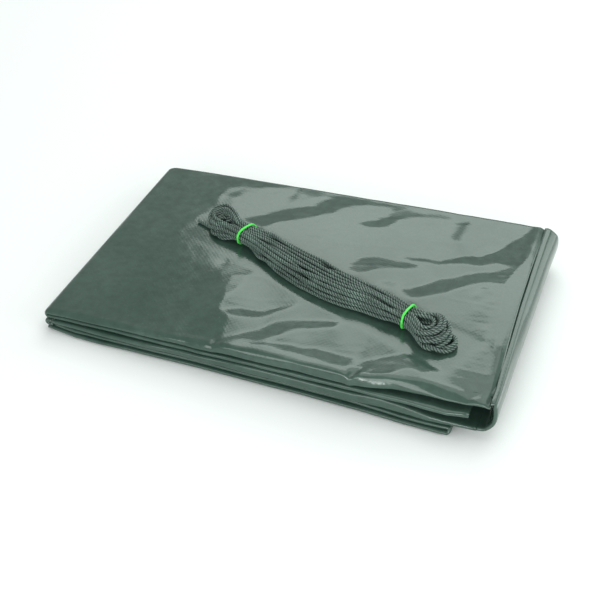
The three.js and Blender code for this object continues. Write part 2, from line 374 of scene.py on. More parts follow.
def cord_mesh(name, line, d, pitch=9.4, lobes=3, per_lobe=4, ring_step=0.85):
    """A three-strand twisted cord swept along a line given in mm in the row frame."""
    line = respace(line, ring_step)
    n = len(line)
    t = np.gradient(line, axis=0)
    t /= np.linalg.norm(t, axis=1)[:, None]
    normal = np.zeros_like(line)
    ref = np.array([0.0, 0.0, 1.0])
    v = ref - t[0] * (ref @ t[0])
    normal[0] = v / np.linalg.norm(v)
    for i in range(1, n):
        v = normal[i - 1] - t[i] * (normal[i - 1] @ t[i])
        normal[i] = v / np.linalg.norm(v)
    side = np.cross(t, normal)
    along = np.concatenate([[0], np.cumsum(np.linalg.norm(np.diff(line, axis=0), axis=1))])
    m = lobes * per_lobe
    th = np.arange(m) / m * 2 * math.pi
    lobe = np.abs(np.cos(lobes * th / 2)) ** 0.8
    radius = d / 2 * (0.70 + 0.36 * lobe)
    twist = 2 * math.pi * along / pitch
    ang = th[None, :] + twist[:, None]
    wob = 1 + 0.03 * np.sin(along * 0.9)[:, None]
    ring = (normal[:, None, :] * np.cos(ang)[..., None] + side[:, None, :] * np.sin(ang)[..., None]) * (radius[None, :] * wob)[..., None]
    end = np.ones(n)
    end[0], end[-1] = 0.55, 0.55
    co = line[:, None, :] + ring * end[:, None, None]
    co = co.reshape(-1, 3)
    idx = np.arange(n * m).reshape(n, m)
    a, b = idx[:-1], idx[1:]
    quads = np.stack([a, np.roll(a, -1, 1), np.roll(b, -1, 1), b], -1).reshape(-1, 4)
    k = m // 2
    i = np.arange(k - 1)
    caps = np.concatenate([np.stack([r[i], r[m - 1 - i], r[m - 2 - i], r[i + 1]], -1) for r in (idx[0], idx[-1])])
    uv = np.stack([np.repeat(along, m) / 1000.0, np.tile(np.arange(m) / m, n)], 1)
    # strand profile, 1 on the crowns and 0 in the grooves: the cord material paints shade in the grooves and a
    # highlight on the crowns from it
    groove = np.tile(lobe, n)
    ob = make_mesh(name, co, np.concatenate([quads, caps]), uv, {"strand": groove, "along": np.repeat(along, m) / 10.0})
    return ob, line


# ---------------------------------------------------------------- materials
def new_material(name):
    mat = bpy.data.materials.new(name)
    mat.use_nodes = True
    nt = mat.node_tree
    nt.nodes.clear()
    out = nt.nodes.new("ShaderNodeOutputMaterial")
    bsdf = nt.nodes.new("ShaderNodeBsdfPrincipled")
    nt.links.new(bsdf.outputs[0], out.inputs[0])
    return mat, nt, bsdf


def node(nt, kind, **values):
    n = nt.nodes.new(kind)
    for key, value in values.items():
        if key in n.inputs:
            n.inputs[key].default_value = value
        else:
            setattr(n, key, value)
    return n


def link(nt, a, b):
    nt.links.new(a, b)


def ramp(nt, source, stops):
    r = nt.nodes.new("ShaderNodeValToRGB")
    e = r.color_ramp.elements
    while len(e) < len(stops):
        e.new(0.5)
    for el, (pos, col) in zip(e, stops):
        el.position = pos
        el.color = (*col, 1.0) if len(col) == 3 else col
    nt.links.new(source, r.inputs[0])
    return r


def cloth_material(name="coated_cloth", tint=1.0):
    """Coated tape-woven cloth: dark green, satin, with the tapes faintly raised and fine light specks."""
    mat, nt, bsdf = new_material(name)
    bsdf.inputs["Metallic"].default_value = 0.0
    bsdf.inputs["IOR"].default_value = 1.5
    bsdf.inputs["Coat Weight"].default_value = 0.0
    uv = node(nt, "ShaderNodeUVMap", uv_map="cloth")
    obj = node(nt, "ShaderNodeTexCoord")
    # colour: slow drift, fine mottling, light specks
    n1 = node(nt, "ShaderNodeTexNoise", Scale=11.0, Detail=3.0, Roughness=0.55)
    n2 = node(nt, "ShaderNodeTexNoise", Scale=120.0, Detail=4.0, Roughness=0.6)
    n3 = node(nt, "ShaderNodeTexNoise", Scale=620.0, Detail=2.0, Roughness=0.7)
    for n in (n1, n2, n3):
        link(nt, obj.outputs["Object"], n.inputs["Vector"])
    r1 = ramp(nt, n1.outputs["Fac"], [(0.30, (0.026 * tint, 0.056 * tint, 0.042 * tint)), (0.70, (0.044 * tint, 0.078 * tint, 0.062 * tint))])
    r2 = ramp(nt, n2.outputs["Fac"], [(0.35, (0.88, 0.88, 0.88)), (0.65, (1.10, 1.10, 1.10))])
    mul = node(nt, "ShaderNodeMix", data_type="RGBA", blend_type="MULTIPLY")
    mul.inputs[0].default_value = 1.0
    link(nt, r1.outputs[0], mul.inputs[6])
    link(nt, r2.outputs[0], mul.inputs[7])
    speck = ramp(nt, n3.outputs["Fac"], [(0.66, (0, 0, 0)), (0.76, (1, 1, 1))])
    mix = node(nt, "ShaderNodeMix", data_type="RGBA", blend_type="MIX")
    mf = node(nt, "ShaderNodeMath", operation="MULTIPLY")
    mf.inputs[1].default_value = 0.22
    link(nt, speck.outputs[0], mf.inputs[0])
    link(nt, mf.outputs[0], mix.inputs[0])
    link(nt, mul.outputs[2], mix.inputs[6])
    mix.inputs[7].default_value = (0.20, 0.26, 0.23, 1)
    link(nt, mix.outputs[2], bsdf.inputs["Base Color"])
    # roughness
    rr = ramp(nt, n2.outputs["Fac"], [(0.3, (0.12, 0.12, 0.12)), (0.7, (0.18, 0.18, 0.18))])
    link(nt, rr.outputs[0], bsdf.inputs["Roughness"])
    # weave: two crossing sets of flat tapes, 2.2 mm apart
    sep = node(nt, "ShaderNodeSeparateXYZ")
    link(nt, uv.outputs[0], sep.inputs[0])
    waves = []
    for axis in (0, 1):
        w = node(nt, "ShaderNodeMath", operation="MULTIPLY")
        link(nt, sep.outputs[axis], w.inputs[0])
        w.inputs[1].default_value = math.pi / 0.0022
        s = node(nt, "ShaderNodeMath", operation="SINE")
        link(nt, w.outputs[0], s.inputs[0])
        waves.append(s)
    prod = node(nt, "ShaderNodeMath", operation="MULTIPLY")
    link(nt, waves[0].outputs[0], prod.inputs[0])
    link(nt, waves[1].outputs[0], prod.inputs[1])
    b1 = node(nt, "ShaderNodeBump", Strength=0.10, Distance=0.00010)
    link(nt, prod.outputs[0], b1.inputs["Height"])
    # small crinkles of the film
    n4 = node(nt, "ShaderNodeTexNoise", Scale=75.0, Detail=5.0, Roughness=0.62)
    n4.inputs["Distortion"].default_value = 0.6
    link(nt, obj.outputs["Object"], n4.inputs["Vector"])
    b2 = node(nt, "ShaderNodeBump", Strength=0.10, Distance=0.0004)
    link(nt, n4.outputs["Fac"], b2.inputs["Height"])
    link(nt, b1.outputs[0], b2.inputs["Normal"])
    b3 = node(nt, "ShaderNodeBump", Strength=0.08, Distance=0.00010)
    link(nt, n3.outputs["Fac"], b3.inputs["Height"])
    link(nt, b2.outputs[0], b3.inputs["Normal"])
    link(nt, b3.outputs[0], bsdf.inputs["Normal"])
    return mat


def cord_material():
    """Twisted synthetic cord: dark green fibres, with a painted highlight making the strand crowns pale and painted
    shade making the grooves near-black.
    """
    mat, nt, bsdf = new_material("twisted_cord")
    bsdf.inputs["Roughness"].default_value = 0.46
    bsdf.inputs["Sheen Weight"].default_value = 0.12
    bsdf.inputs["Sheen Roughness"].default_value = 0.4
    # strand profile from the mesh: drives the painted groove shade and crown highlight below
    a = node(nt, "ShaderNodeAttribute", attribute_name="strand")
    obj = node(nt, "ShaderNodeTexCoord")
    fib = node(nt, "ShaderNodeTexNoise", Scale=900.0, Detail=2.0, Roughness=0.6)
    link(nt, obj.outputs["Object"], fib.inputs["Vector"])
    slow = node(nt, "ShaderNodeTexNoise", Scale=60.0, Detail=2.0)
    link(nt, obj.outputs["Object"], slow.inputs["Vector"])
    add = node(nt, "ShaderNodeMath", operation="MULTIPLY_ADD")
    link(nt, fib.outputs["Fac"], add.inputs[0])
    add.inputs[1].default_value = 0.55
    link(nt, a.outputs["Fac"], add.inputs[2])
    scale = node(nt, "ShaderNodeMath", operation="MULTIPLY")
    link(nt, add.outputs[0], scale.inputs[0])
    scale.inputs[1].default_value = 1 / 1.4
    # near-black low end is painted shade in the grooves, pale high end is a painted highlight on the crowns
    r = ramp(nt, scale.outputs[0], [(0.18, (0.004, 0.007, 0.006)), (0.60, (0.026, 0.050, 0.040)), (0.84, (0.10, 0.155, 0.13)), (0.98, (0.30, 0.385, 0.345))])
    m = node(nt, "ShaderNodeMix", data_type="RGBA", blend_type="MULTIPLY")
    m.inputs[0].default_value = 1.0
    r2 = ramp(nt, slow.outputs["Fac"], [(0.3, (0.75, 0.75, 0.75)), (0.7, (1.25, 1.25, 1.25))])
    link(nt, r.outputs[0], m.inputs[6])
    link(nt, r2.outputs[0], m.inputs[7])
    link(nt, m.outputs[2], bsdf.inputs["Base Color"])
    b = node(nt, "ShaderNodeBump", Strength=0.35, Distance=0.00025)
    link(nt, fib.outputs["Fac"], b.inputs["Height"])
    link(nt, b.outputs[0], bsdf.inputs["Normal"])
    return mat


def band_material():
    """Bright green covered elastic."""
    mat, nt, bsdf = new_material("green_elastic")
    bsdf.inputs["Roughness"].default_value = 0.42
    bsdf.inputs["Sheen Weight"].default_value = 0.1
    uv = node(nt, "ShaderNodeUVMap", uv_map="cloth")
    w = node(nt, "ShaderNodeTexWave", Scale=520.0, Distortion=0.6)
    w.wave_type, w.bands_direction = "BANDS", "DIAGONAL"
    link(nt, uv.outputs[0], w.inputs["Vector"])
    r = ramp(nt, w.outputs["Fac"], [(0.15, (0.010, 0.42, 0.030)), (0.6, (0.030, 0.80, 0.060)), (1.0, (0.16, 0.95, 0.12))])
    link(nt, r.outputs[0], bsdf.inputs["Base Color"])
    b = node(nt, "ShaderNodeBump", Strength=0.4, Distance=0.0002)
    link(nt, w.outputs["Fac"], b.inputs["Height"])
    link(nt, b.outputs[0], bsdf.inputs["Normal"])
    return mat


cloth_mat = cloth_material()
rope_mat = cord_material()
band_mat = band_material()

# ---------------------------------------------------------------- rope and bands
rope, rope_line = cord_mesh("rope", hank_to_world(hank_line), CORD_D)
rope.data.materials.append(rope_mat)
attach(rope, "rope")
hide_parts("rope_hank", "rope_tail")


def band(name, u, body, node_name, skew):
    """A round elastic stretched round the hank's neck, slightly askew, as a closed tube."""
    n, m = 120, 14
    near = np.abs(hank_line[:, 0] - u) < 3.0
    pts = hank_line[near][:, 1:]
    th = np.linspace(0, 2 * math.pi, n, endpoint=False)
    # support line of the cords in the neck, rounded by the cord's own radius
    r0 = CORD_D / 2 + 0.9
    centre = np.array([3.0, 7.8])
    hull = []
    for a in th:
        d = np.array([math.cos(a), math.sin(a)])
        hull.append(((pts - centre) @ d).max() + r0)
    hull = np.array(hull)
    # the convex outline from its support function
    dh = np.gradient(hull, th[1] - th[0])
    for _ in range(6):
        hull = 0.5 * hull + 0.25 * (np.roll(hull, 1) + np.roll(hull, -1))
    dh = (np.roll(hull, -1) - np.roll(hull, 1)) / (2 * (th[1] - th[0]))
    v = centre[0] + hull * np.cos(th) - dh * np.sin(th)
    w = centre[1] + hull * np.sin(th) + dh * np.cos(th)
    w = np.maximum(w, 1.2)
    uu = u - skew * (v - 3.0) / 13.0 + 0.35 * np.sin(2 * th + 1.0)
    line = np.stack([uu, v, w], 1)
    t = np.roll(line, -1, 0) - np.roll(line, 1, 0)
    t /= np.linalg.norm(t, axis=1)[:, None]
    up = np.tile(np.array([1.0, 0, 0]), (n, 1))
    a = up - t * (up * t).sum(1)[:, None]
    a /= np.linalg.norm(a, axis=1)[:, None]
    b = np.cross(t, a)
    ph = np.arange(m) / m * 2 * math.pi
    rad = 1.12 * (1 + 0.05 * np.cos(6 * ph))
    ring = a[:, None] * (np.cos(ph) * rad)[None, :, None] + b[:, None] * (np.sin(ph) * rad * 0.9)[None, :, None]
    co = hank_to_world((line[:, None] + ring).reshape(-1, 3))
    idx = np.arange(n * m).reshape(n, m)
    nx = np.roll(idx, -1, 0)
    quads = np.stack([idx, np.roll(idx, -1, 1), np.roll(nx, -1, 1), nx], -1).reshape(-1, 4)
    along = np.concatenate([[0], np.cumsum(np.linalg.norm(np.diff(line, axis=0), axis=1))])
    uv = np.stack([np.repeat(along, m) / 1000.0, np.tile(ph / 1000.0 * 1.25, n)], 1)
    ob = make_mesh(name, co, quads, uv)
    ob.data.materials.append(band_mat)
    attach(ob, body)
    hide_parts(node_name)
    return ob


band("green_band_left", BAND_U[0], "band_left", "elastic_band_left", 0.4)
band("green_band_right", BAND_U[1], "band_right", "elastic_band_right", 2.3)

# ---------------------------------------------------------------- the bag: how its top leaf lies
TAU = 0.8          # one folded ply of the flattened bag, with its air
GX, GY, GS = (-220.0, 216.0), (-142.0, 142.0), 2.0


def under_hank(x, y):
    """1 under the hank, 0 away from it."""
    dx, dy = np.asarray(x) - HANK[0], np.asarray(y) - HANK[1]
    c, s = math.cos(HANK_YAW), math.sin(HANK_YAW)
    u, v = dx * c + dy * s, -dx * s + dy * c
    return (smooth(-176, -160, u) * (1 - smooth(156, 168, u)) * smooth(-34, -24, v) * (1 - smooth(20, 30, v)))


def lay_frame(x, y):
    """The frame in which the top leaf's creases are laid out: p along them, s across, counted at 0.62."""
    c, sn = math.cos(AZ), math.sin(AZ)
    return x * c + y * sn, 0.62 * (-x * sn + y * c)


def inside_of(p, s, poly, soft=1.6):
    """1 inside a polygon, 0 outside, with a soft rim."""
    poly = np.asarray(poly, float)
    best = np.full(p.shape, 1e9)
    odd = np.zeros(p.shape, bool)
    for (x0, y0), (x1, y1) in zip(poly, np.roll(poly, -1, 0)):
        dx, dy = x1 - x0, y1 - y0
        t = np.clip(((p - x0) * dx + (s - y0) * dy) / max(dx * dx + dy * dy, 1e-9), 0, 1)
        best = np.minimum(best, np.hypot(p - x0 - t * dx, s - y0 - t * dy))
        if y0 != y1:
            cross = (y0 > s) != (y1 > s)
            odd ^= cross & (p < (x1 - x0) * (s - y0) / (y1 - y0) + x0)
    d = np.where(odd, best, -best)
    return smooth(-soft, soft, d)


# facets of the creased leaf that lean away from its general lie: how much, and their outline (p, s) in mm
FACETS = [
    (0.9, [(-116, 122), (-72, 111), (-49, 105), (-24, 98), (-24, 91), (-48, 90), (-69, 93), (-84, 93), (-91, 83), (-103, 75), (-116, 84)]),
    (0.6, [(-84, 82), (-79, 86), (-70, 90), (-67, 85), (-72, 79), (-79, 78)]),
    (1.0, [(-65, 55), (-51, 58), (-34, 63), (-18, 66), (10, 67), (17, 73), (38, 74), (65, 71), (58, 66), (38, 65), (24, 57), (2, 53), (-28, 50), (-46, 45), (-58, 49)]),
    (0.6, [(-19, 72), (-16, 82), (-11, 88), (-7, 88), (-10, 79), (-15, 70)]),
    (0.5, [(-5, 84), (4, 86), (14, 82), (10, 77), (0, 79)]),
    (0.8, [(22, 78), (38, 77), (65, 70), (90, 63), (94, 58), (77, 63), (52, 68), (30, 73)]),
    (1.0, [(51, 45), (61, 49), (76, 50), (85, 50), (95, 53), (99, 50), (88, 45), (80, 40), (70, 40), (59, 42)]),
    (0.65, [(85, 62), (97, 59), (111, 55), (122, 50), (106, 49), (96, 48), (88, 46), (80, 49)]),
    (0.25, [(-33, 44), (-8, 39), (16, 31), (24, 25), (13, 26), (-8, 34), (-28, 39)]),
    (0.8, [(43, 5), (50, 10), (67, 10), (81, 6), (95, 3), (105, 0), (98, -4), (85, -4), (71, -3), (57, -6), (45, -8), (38, -1)]),
    (0.6, [(61, -17), (73, -15), (84, -18), (80, -23), (68, -21)]),
    (0.3, [(82, 11), (96, 13), (125, 13), (139, 16), (141, 11), (124, 6), (105, 7), (88, 7)]),
    (0.85, [(149, 44), (159, 42), (153, 33), (146, 21), (139, 23), (145, 34)]),
    (0.3, [(109, 36), (115, 38), (121, 36), (116, 33)]),
    (0.5, [(92, 60), (116, 54), (142, 48), (138, 46), (116, 49), (95, 54)]),
    (1.0, [(84, 10), (105, 7), (123, 3), (139, 6), (157, 8), (171, 10), (186, 14), (200, 21), (215, 28), (225, 32), (233, 32), (227, 20), (219, 8), (210, -6), (201, -19), (192, -26), (192, -11), (177, -4), (159, -4), (141, -2), (123, 0), (104, 3)]),
    (1.0, [(86, -24), (97, -20), (111, -17), (120, -14), (139, -14), (158, -10), (176, -10), (193, -10), (198, -20), (187, -27), (177, -26), (164, -22), (151, -22), (141, -25), (127, -28), (118, -30), (104, -32), (91, -33), (87, -29)]),
    (0.8, [(150, -32), (153, -27), (157, -26), (165, -27), (163, -29), (157, -28), (152, -33)]),
    (0.45, [(143, -38), (150, -38), (163, -40), (159, -41), (146, -41)]),
    (0.4, [(143, -44), (151, -43), (157, -45), (149, -46)]),
    (0.5, [(158, -37), (171, -33), (182, -34), (177, -37), (165, -39)]),
    (0.55, [(156, -52), (166, -50), (174, -51), (168, -55), (159, -55)]),
    (0.5, [(146, -60), (159, -58), (169, -60), (164, -63), (151, -63)]),
    (0.5, [(172, -28), (186, -29), (182, -37), (171, -55), (160, -75), (152, -79), (154, -63), (163, -44)]),
    (1.0, [(-77, -37), (-62, -35), (-42, -37), (-26, -35), (-8, -33), (-19, -38), (-35, -43), (-48, -45), (-62, -45), (-73, -42)]),
    (1.0, [(-74, -61), (-61, -59), (-42, -53), (-28, -48), (-8, -47), (18, -49), (28, -50), (23, -56), (5, -57), (-8, -57), (-21, -59), (-33, -64), (-41, -67), (-60, -66), (-76, -65)]),
    (1.0, [(-76, -66), (-41, -67), (-17, -69), (9, -74), (31, -79), (39, -82), (36, -87), (29, -91), (17, -88), (-8, -80), (-41, -71), (-60, -68)]),
    (1.0, [(45, -84), (59, -82), (75, -81), (85, -74), (110, -78), (114, -84), (105, -94), (97, -98), (74, -98), (54, -97), (41, -96), (38, -91)]),
    (0.7, [(-83, 10), (-65, 9), (-53, 1), (-58, -9), (-65, -20), (-76, -24), (-86, -25), (-90, -8)]),
]


def solve_heights(g, w, hold, across=0.0):
    """Heights whose slope along the lay frame's s direction follows g where w says so, by conjugate gradients."""
    q = (-math.sin(AZ), math.cos(AZ))

    def grad(h):
        gx = np.zeros_like(h)
        gy = np.zeros_like(h)
        gx[1:-1] = (h[2:] - h[:-2]) / (2 * GS)
        gy[:, 1:-1] = (h[:, 2:] - h[:, :-2]) / (2 * GS)
        return q[0] * gx + q[1] * gy

    def grad_t(r):
        out = np.zeros_like(r)
        out[2:] += q[0] * r[1:-1] / (2 * GS)
        out[:-2] -= q[0] * r[1:-1] / (2 * GS)
        out[:, 2:] += q[1] * r[:, 1:-1] / (2 * GS)
        out[:, :-2] -= q[1] * r[:, 1:-1] / (2 * GS)
        return out

    def lap(h):
        out = np.zeros_like(h)
        out[1:-1, 1:-1] = (h[2:, 1:-1] + h[:-2, 1:-1] + h[1:-1, 2:] + h[1:-1, :-2] - 4 * h[1:-1, 1:-1]) / GS ** 2
        return out

    def full(h):
        return grad_t(w * grad(h)) + 0.22 * lap(lap(h)) + hold * h

    h = np.zeros_like(g)
    r = grad_t(w * g)
    p = r.copy()
    rs = (r * r).sum()
    for _ in range(420):
        ap = full(p)
        alpha = rs / (p * ap).sum()
        h += alpha * p
        r -= alpha * ap
        new = (r * r).sum()
        if new < 1e-12:
            break
        p = r + new / rs * p
        rs = new
    return h


def sculpt_top():
    xs = np.arange(GX[0], GX[1], GS)
    ys = np.arange(GY[0], GY[1], GS)
    x, y = np.meshgrid(xs, ys, indexing="ij")
    p, s = lay_frame(x, y)
    wob_p = p + 1.6 * value_noise(x, y, 15, 71)
    wob_s = s + 1.0 * value_noise(x, y, 13, 72)
    lean = np.zeros_like(x)
    for level, poly in FACETS:
        lean = np.maximum(lean, level * inside_of(wob_p, wob_s, poly))
    glossy = smooth(-4, 4, p + 83 + 0.092 * (s + 27))
    g_lean = -((88 - s) * 0.00046 + 0.062)
    g_flat = 0.012
    g = g_flat * (1 - lean) + g_lean * lean
    g = g * glossy
    w = glossy * (0.14 + 0.86 * lean) + 0.01
    keep = under_hank(x, y)
    edge = np.maximum(smooth(121, 131, y), smooth(-121, -131, y))
    hold = 2e-6 + 1e-3 * smooth(119, 129, y) + 1e-4 * edge + 1e-2 * keep + 1e-5 * smooth(192, 202, x) + 1e-4 * smooth(-196, -206, x)
    w = w * (1 - keep) * (1 - 0.7 * edge)
    h = solve_heights(g, w, hold)
    # free crinkles: long soft ones, and fine sharp ones
    soft = 0.30 * value_noise(x + 0.5 * y, y - 0.2 * x, 46, 11) + 0.10 * value_noise(x, y * 1.6, 19, 12)
    ridged = 1 - np.abs(value_noise(x * 0.55 + 0.2 * y, y * 1.5 - 0.25 * x, 24, 13)) * 2
    sharp = 0.12 * np.clip(ridged, 0, 1) ** 5
    ridged2 = 1 - np.abs(value_noise(x * 1.3 - 0.6 * y, y * 0.7 + 0.5 * x, 17, 14)) * 2
    sharp += 0.07 * np.clip(ridged2, 0, 1) ** 6
    left = 1 - 0.5 * glossy
    h = h + (1 - edge) * (soft * left + sharp)
    # ladder of short creases beside the open fold
    ladder = np.zeros_like(x)
    rng = np.random.default_rng(21)
    for yy in np.arange(-116, 40, 6.2):
        y0 = yy + rng.uniform(-1.6, 1.6)
        x0, half, amp, tilt = 176 + rng.uniform(-9, 5), rng.uniform(6, 16), rng.uniform(0.02, 0.13), rng.uniform(-0.14, 0.08)
        ladder += amp * bump(x0, half, x) * (bump(y0 + tilt * (x - x0), 1.5, y) - 0.8 * bump(y0 + 3.0 + tilt * (x - x0), 1.8, y))
    h = h + ladder
    return xs, ys, h


top_xs, top_ys, top_h = sculpt_top()


def sample_top(x, y):
    fx = np.clip((np.asarray(x) - top_xs[0]) / GS, 0, len(top_xs) - 1.001)
    fy = np.clip((np.asarray(y) - top_ys[0]) / GS, 0, len(top_ys) - 1.001)
    i, j = fx.astype(int), fy.astype(int)
    a, b = fx - i, fy - j
    return (top_h[i, j] * (1 - a) * (1 - b) + top_h[i + 1, j] * a * (1 - b)
            + top_h[i, j + 1] * (1 - a) * b + top_h[i + 1, j + 1] * a * b)


def x_valley(y):
    """Where the top leaf ends in the valley beside the open fold."""
    return np.interp(y, [-140, -113, -40, 3, 50, 116, 140], [203.6, 204.2, 200.6, 198.8, 197.8, 196.8, 196.4])


# ---------------------------------------------------------------- the bag: strips of folded cloth
def catmull(ctrl, n):
    """Points along smooth curves through control points; ctrl is (k, Ns, 2)."""
    c = np.asarray(ctrl, float)
    c = np.concatenate([(2 * c[0] - c[1])[None], c, (2 * c[-1] - c[-2])[None]])
    k = len(c) - 3
    out = []
    for t in np.linspace(0, k, n):
        i = min(int(t), k - 1)
        f = t - i
        p0, p1, p2, p3 = c[i:i + 4]
        out.append(0.5 * (2 * p1 + (p2 - p0) * f + (2 * p0 - 5 * p1 + 4 * p2 - p3) * f ** 2 + (3 * p1 - p0 - 3 * p2 + p3) * f ** 3))
    return np.stack(out, 1)       # Ns, n, 2


def strip(name, cx, cz, shape, n_a, n_c, n_b, n_fold=13, w_extra=None, x_extra=None, s0=0.0, tau=TAU):
    """A length of the folded bag. cx, cz: its middle line (mm); shape: per-section arrays
    yA, yr, wA, yl, wl, wC, yb, wB, yf. The outer ply runs from the back edge (yA) to the front
    ridge (yr), turns down to the lip (yl), runs back inside (wC), turns at yb and ends at yf."""
    ns = len(cx)
    full = lambda k: np.broadcast_to(np.asarray(shape[k], float), (ns,)).copy()
    yA, yr, wA, yl, wl, wC, yb, wB, yf = (full(k) for k in ("yA", "yr", "wA", "yl", "wl", "wC", "yb", "wB", "yf"))
    pieces = []
    t = np.linspace(0, 1, n_a)
    start = yr + 3.0
    pieces.append(np.stack([yA[:, None] + (start - yA)[:, None] * t, np.repeat(wA[:, None], n_a, 1)], -1))
    depth = wA - wl
    ctrl = [np.stack([start, wA], -1),
            np.stack([yr, wA - 0.10 * np.minimum(depth, 3)], -1),
            np.stack([yr * 0.7 + yl * 0.3 - 0.9, wA - 0.30 * depth], -1),
            np.stack([yr * 0.25 + yl * 0.75 - 0.9, wA - 0.66 * depth], -1),
            np.stack([yl, wl + 0.10 * depth], -1),
            np.stack([yl + 2.2, wl], -1),
            np.stack([yl + 7.0, wl + 0.04 * (wC - wl)], -1)]
    pieces.append(catmull(ctrl, n_fold + 2)[:, 1:-1])
    t = np.linspace(0, 1, n_c)
    yc0, yc1 = yl + 7.0, yb - 0.9
    yc = yc0[:, None] + (yc1 - yc0)[:, None] * t
    lead = smooth(0, 1, (yc - yc0[:, None]) / 30.0)
    pieces.append(np.stack([yc, wl[:, None] + (wC - wl)[:, None] * lead], -1))
    th = np.linspace(-90, 90, 7)[1:-1] * math.pi / 180
    rb = (wB - wC) / 2
    pieces.append(np.stack([(yb - 0.9)[:, None] + 0.9 * np.cos(th), (wC + rb)[:, None] + rb[:, None] * np.sin(th)], -1))
    t = np.linspace(0, 1, n_b)
    pieces.append(np.stack([(yb - 0.9)[:, None] + (yf - yb + 0.9)[:, None] * t, np.repeat(wB[:, None], n_b, 1)], -1))
    prof = np.concatenate(pieces, 1)                       # Ns, K, 2
    if w_extra is not None:
        prof[..., 1] += w_extra(prof, cx)
    d = np.gradient(prof, axis=1)
    nrm = np.stack([-d[..., 1], d[..., 0]], -1)
    nrm /= np.maximum(np.linalg.norm(nrm, axis=2), 1e-9)[..., None]
    both = np.concatenate([prof - nrm * tau / 2, (prof + nrm * tau / 2)[:, ::-1]], 1)
    k = prof.shape[1]
    tx, tz = np.gradient(cx), np.gradient(cz)
    tl = np.hypot(tx, tz)
    nx, nz = tz / tl, -tx / tl
    y, w = both[..., 0], both[..., 1]
    x = cx[:, None] + w * nx[:, None]
    z = cz[:, None] + w * nz[:, None]
    if x_extra is not None:
        dx, dz = x_extra(x, y, z, w)
        x, z = x + dx, z + dz
    co = np.stack([x, y, z], -1)
    s = s0 + np.concatenate([[0], np.cumsum(np.hypot(np.diff(cx), np.diff(cz)))])
    arc = np.concatenate([[0], np.cumsum(np.linalg.norm(np.diff(prof[ns // 2], axis=0), axis=1))])
    arc2 = np.concatenate([arc, arc[::-1]])
    uv = np.stack([np.repeat(s, 2 * k), np.tile(arc2, ns)], 1) / 1000.0
    ob = make_mesh(name, co.reshape(-1, 3), loft_faces(ns, 2 * k), uv)
    ob.data.materials.append(cloth_mat)
    return ob, co, k, float(s[-1] - s0), float(arc[-1])


def arc_line(cx, cz, r, a0, a1, n):
    a = np.radians(np.linspace(a0, a1, n))
    return cx + r * np.cos(a), cz + r * np.sin(a)


def join_lines(*lines):
    x = np.concatenate([np.asarray(l[0], float)[(1 if i else 0):] for i, l in enumerate(lines)])
    z = np.concatenate([np.asarray(l[1], float)[(1 if i else 0):] for i, l in enumerate(lines)])
    return x, z


def wavy(x, seed, amp=1.0, cell=38.0):
    return amp * value_noise(x, np.full_like(np.asarray(x, float), seed * 7.3), cell, seed)


def ply_noise(seed, amp=0.22, edge=0.5):
    """Small waviness of the plies, stronger towards the front and back edges."""
    def f(prof, cx):
        y = prof[..., 0]
        k = prof.shape[1]
        layer = np.linspace(0, 3, k)[None, :] * 13.0
        n = value_noise(cx[:, None] + layer, y * 0.6, 42, seed) + 0.6 * value_noise(cx[:, None] - layer, y, 17, seed + 1)
        near = smooth(90, 128, np.abs(y))
        return n * (amp + (edge - amp) * near) * 0.6
    return f


# lower two leaves and the tight fold that joins them
mid1, mid2, mid3 = LEAF / 2, LEAF * 1.5 + GAP, LEAF * 2.5 + 2 * GAP
x1 = np.linspace(X_L - 1.6, X_LOWER_R, 64)
x2 = np.linspace(X_LOWER_R, X_L + 4, 62)
ax, az_ = arc_line(X_LOWER_R, (mid1 + mid2) / 2, (mid2 - mid1) / 2, -90, 90, 11)
cx, cz = join_lines((x1, np.full_like(x1, mid1)), (ax, az_), (x2, np.full_like(x2, mid2)))
front_low = np.interp(cx, [-212, -194, -177, -151, -121, -62, -14, 42, 97, 132, 165, 176],
                      [-130.6, -133, -135.2, -135.6, -134.6, -133.2, -134.0, -133.6, -134.6, -136.4, -136.8, -136.0])
upper = cz > (mid1 + mid2) / 2
front = front_low + np.where(upper, 1.6 + wavy(cx, 3, 0.9, 30), wavy(cx, 4, 0.35, 60))
lower_cloth, lower_co, _, lower_len, lower_w = strip(
    "lower_leaves", cx, cz,
    dict(yA=127.5 + wavy(cx, 5, 1.2), yr=front + 1.6, wA=1.55, yl=front + 1.2, wl=-1.55, wC=-1.55,
         yb=126.0 + wavy(cx, 6, 1.0), wB=0.0, yf=front + 9), 60, 34, 30,
    w_extra=lambda prof, c: ply_noise(31, 0.05, 0.22)(prof, c) * np.clip((prof[..., 1] < 1.0) * 1.0 + 0.0, 0, 1))
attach(lower_cloth, "lower_fold")
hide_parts("lower_leaf", "lower_right_fold", "second_leaf")

# tight left fold between the second and third leaves
lx, lz = arc_line(X_L, (mid2 + mid3) / 2, (mid3 - mid2) / 2, 270, 90, 15)
lx, lz = join_lines(([X_L + 4, X_L + 2, X_L], [mid2] * 3), (lx, lz), ([X_L, X_L + 2, X_L + 4], [mid3] * 3))
sec_front = np.interp(lz, [mid2, mid3], [-131.6, -132.6])
left_cloth, left_co, left_k, left_len, left_w = strip(
    "left_fold_cloth", lx, lz,
    dict(yA=128.0, yr=sec_front + 1.6, wA=1.55, yl=sec_front + 1.2, wl=-1.55, wC=-1.55, yb=127.0, wB=0.0, yf=sec_front + 9),
    60, 34, 30)
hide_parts("left_fold")

# third leaf
x3 = np.linspace(X_L + 4, X_LOOP, 84)
front3 = np.interp(x3, [-206, -170, -120, -60, -23, 42, 88, 113, 131, 153, 180, 195],
                   [-132.6, -134.4, -134.8, -134.2, -134.6, -134.8, -135.6, -133.6, -134.9, -135.2, -133.0, -131.6]) + wavy(x3, 8, 0.5, 24)


